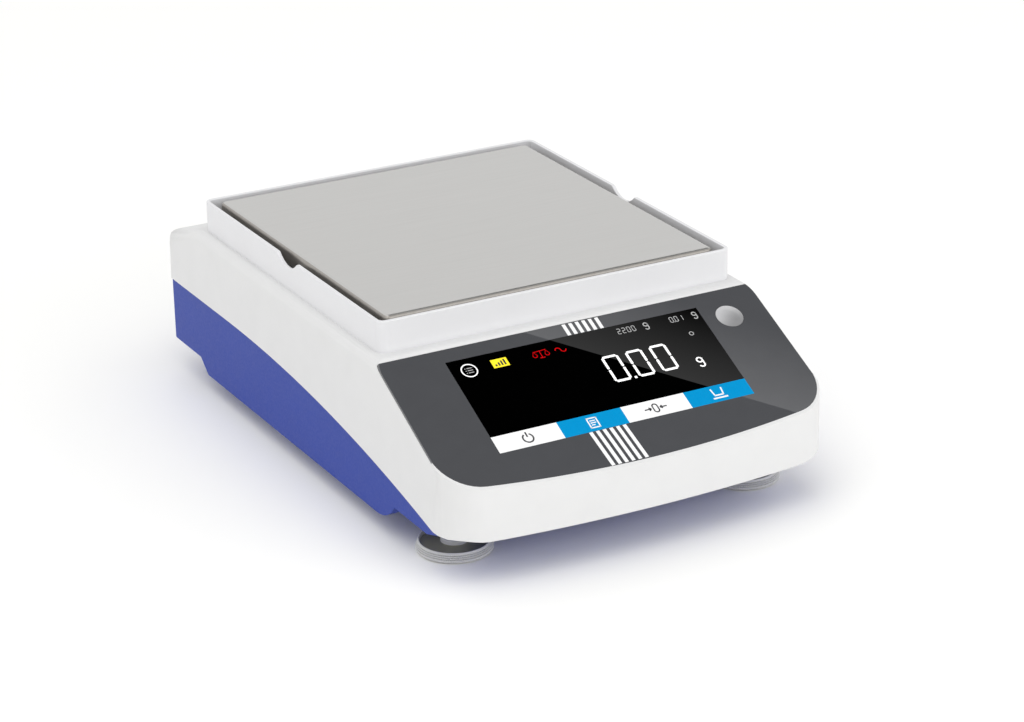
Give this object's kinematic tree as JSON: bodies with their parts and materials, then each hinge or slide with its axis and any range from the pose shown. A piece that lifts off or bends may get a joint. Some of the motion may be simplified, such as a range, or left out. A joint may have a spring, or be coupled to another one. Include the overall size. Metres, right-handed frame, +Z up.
{
  "type": "precision balance",
  "caption": "Laboratory precision balance: sloping touch display, square steel pan in a low draft ring, force compensation weigh cell and adjustable screw feet.",
  "frame": {"origin": "middle of the footprint at table level", "axes": "+X to the user's right, +Y from the display to the sockets, +Z up"},
  "size_m": [0.2088, 0.328, 0.104],
  "materials": {
    "shell_white": "fine matt moulding",
    "base_blue": "fine matt moulding",
    "panel_film": "satin film",
    "display_glass": "glossy black with lit digits",
    "module_grey": "plain",
    "board_green": "solder mask",
    "chip_black": "moulded packages",
    "screw_steel": "zinc plated",
    "level_cup": "turned",
    "level_lens": "clear silvery lens",
    "socket_black": "moulded",
    "socket_metal": "nickel plated",
    "collar_rubber": "soft",
    "insert_brass": "turned",
    "cell_aluminium": "machined",
    "sensor_black": "moulded",
    "magnet_iron": "nickel plated iron",
    "guide_steel": "spring steel",
    "former_plastic": "moulded",
    "coil_copper": "enamelled copper wire",
    "pan_steel": "stainless steel brushed across the pan",
    "buffer_rubber": "soft",
    "ring_white": "white paint",
    "foot_grey": "light grey with a knurled rim",
    "pad_rubber": "soft"
  },
  "bodies": {
    "housing": {"top_housing": "shell_white", "bottom_housing": "base_blue", "control_panel": "panel_film", "display_window": "display_glass", "display_module": "module_grey", "display_board": "board_green", "display_screws": "screw_steel", "level_vial": "level_cup", "level_lens": "level_lens", "main_board": "board_green", "board_parts": "chip_black", "board_screws": "screw_steel", "power_inlet": "socket_black", "serial_socket": "socket_metal", "dust_collar": "collar_rubber", "housing_screws": "screw_steel", "foot_inserts": "insert_brass", "cell_base": "cell_aluminium", "cell_screws": "screw_steel", "stop_screws": "screw_steel", "position_sensor": "sensor_black", "magnet_pot": "magnet_iron", "magnet": "magnet_iron", "pole_cap": "magnet_iron", "lever_pivot": "screw_steel"},
    "shield": {"draft_shield": "ring_white"},
    "hanger": {"load_hanger": "cell_aluminium", "coupling_band": "guide_steel", "pan_carrier": "cell_aluminium", "carrier_screw": "screw_steel", "pan_buffers": "buffer_rubber"},
    "pan": {"weighing_pan": "pan_steel"},
    "upper_guide": {"upper_guide": "guide_steel"},
    "lower_guide": {"lower_guide": "guide_steel"},
    "lever": {"lever": "cell_aluminium", "coil_former": "former_plastic", "coil": "coil_copper"},
    "pad_front_left": {"foot_pad_front_left": "pad_rubber"},
    "screw_front_left": {"foot_screw_front_left": "foot_grey"},
    "pad_front_right": {"foot_pad_front_right": "pad_rubber"},
    "screw_front_right": {"foot_screw_front_right": "foot_grey"},
    "pad_rear_left": {"foot_pad_rear_left": "pad_rubber"},
    "screw_rear_left": {"foot_screw_rear_left": "foot_grey"},
    "pad_rear_right": {"foot_pad_rear_right": "pad_rubber"},
    "screw_rear_right": {"foot_screw_rear_right": "foot_grey"}
  },
  "joints": [
    {"name": "shield_lift", "type": "slide", "parent": "housing", "child": "shield", "axis": [0, 0, 1], "range_m": [0, 0.05]},
    {"name": "pan_load", "type": "slide", "parent": "housing", "child": "hanger", "axis": [0, 0, -1], "range_m": [0, 0.0002], "stiffness_N_per_m": 60000, "springref_m": -0.00016},
    {"name": "pan_lift", "type": "slide", "parent": "hanger", "child": "pan", "axis": [0, 0, 1], "range_m": [0, 0.06]},
    {"name": "upper_guide_swing", "type": "hinge", "parent": "housing", "child": "upper_guide", "pos_m": [0, -0.0257, 0.0758], "axis": [-1, 0, 0], "range_deg": [-0.05, 0.35]},
    {"name": "lower_guide_swing", "type": "hinge", "parent": "housing", "child": "lower_guide", "pos_m": [0, -0.0257, 0.0338], "axis": [-1, 0, 0], "range_deg": [-0.05, 0.35]},
    {"name": "lever_swing", "type": "hinge", "parent": "housing", "child": "lever", "pos_m": [0, 0.0006, 0.0518], "axis": [-1, 0, 0], "range_deg": [-0.05, 1.05]},
    {"name": "foot_height_front_left", "type": "slide", "parent": "housing", "child": "pad_front_left", "axis": [0, 0, -1], "range_m": [-0.01001, 0.00501]},
    {"name": "foot_turn_front_left", "type": "hinge", "parent": "pad_front_left", "child": "screw_front_left", "pos_m": [-0.08, -0.114, 0.004], "axis": [0, 0, -1], "range_deg": [-2880, 1440]},
    {"name": "foot_height_front_right", "type": "slide", "parent": "housing", "child": "pad_front_right", "axis": [0, 0, -1], "range_m": [-0.01001, 0.00501]},
    {"name": "foot_turn_front_right", "type": "hinge", "parent": "pad_front_right", "child": "screw_front_right", "pos_m": [0.08, -0.114, 0.004], "axis": [0, 0, -1], "range_deg": [-2880, 1440]},
    {"name": "foot_height_rear_left", "type": "slide", "parent": "housing", "child": "pad_rear_left", "axis": [0, 0, -1], "range_m": [-0.00626, 0.00501]},
    {"name": "foot_turn_rear_left", "type": "hinge", "parent": "pad_rear_left", "child": "screw_rear_left", "pos_m": [-0.068, 0.142, 0.004], "axis": [0, 0, -1], "range_deg": [-1800, 1440]},
    {"name": "foot_height_rear_right", "type": "slide", "parent": "housing", "child": "pad_rear_right", "axis": [0, 0, -1], "range_m": [-0.00626, 0.00501]},
    {"name": "foot_turn_rear_right", "type": "hinge", "parent": "pad_rear_right", "child": "screw_rear_right", "pos_m": [0.068, 0.142, 0.004], "axis": [0, 0, -1], "range_deg": [-1800, 1440]}
  ],
  "couplings": [
    {"joint": "upper_guide_swing", "follows": "pan_load", "rad_per_m": 23.81},
    {"joint": "lower_guide_swing", "follows": "pan_load", "rad_per_m": 23.81},
    {"joint": "lever_swing", "follows": "pan_load", "rad_per_m": 83.333},
    {"joint": "foot_height_front_left", "follows": "foot_turn_front_left", "m_per_rad": 0.00019894},
    {"joint": "foot_height_front_right", "follows": "foot_turn_front_right", "m_per_rad": 0.00019894},
    {"joint": "foot_height_rear_left", "follows": "foot_turn_rear_left", "m_per_rad": 0.00019894},
    {"joint": "foot_height_rear_right", "follows": "foot_turn_rear_right", "m_per_rad": 0.00019894}
  ]
}
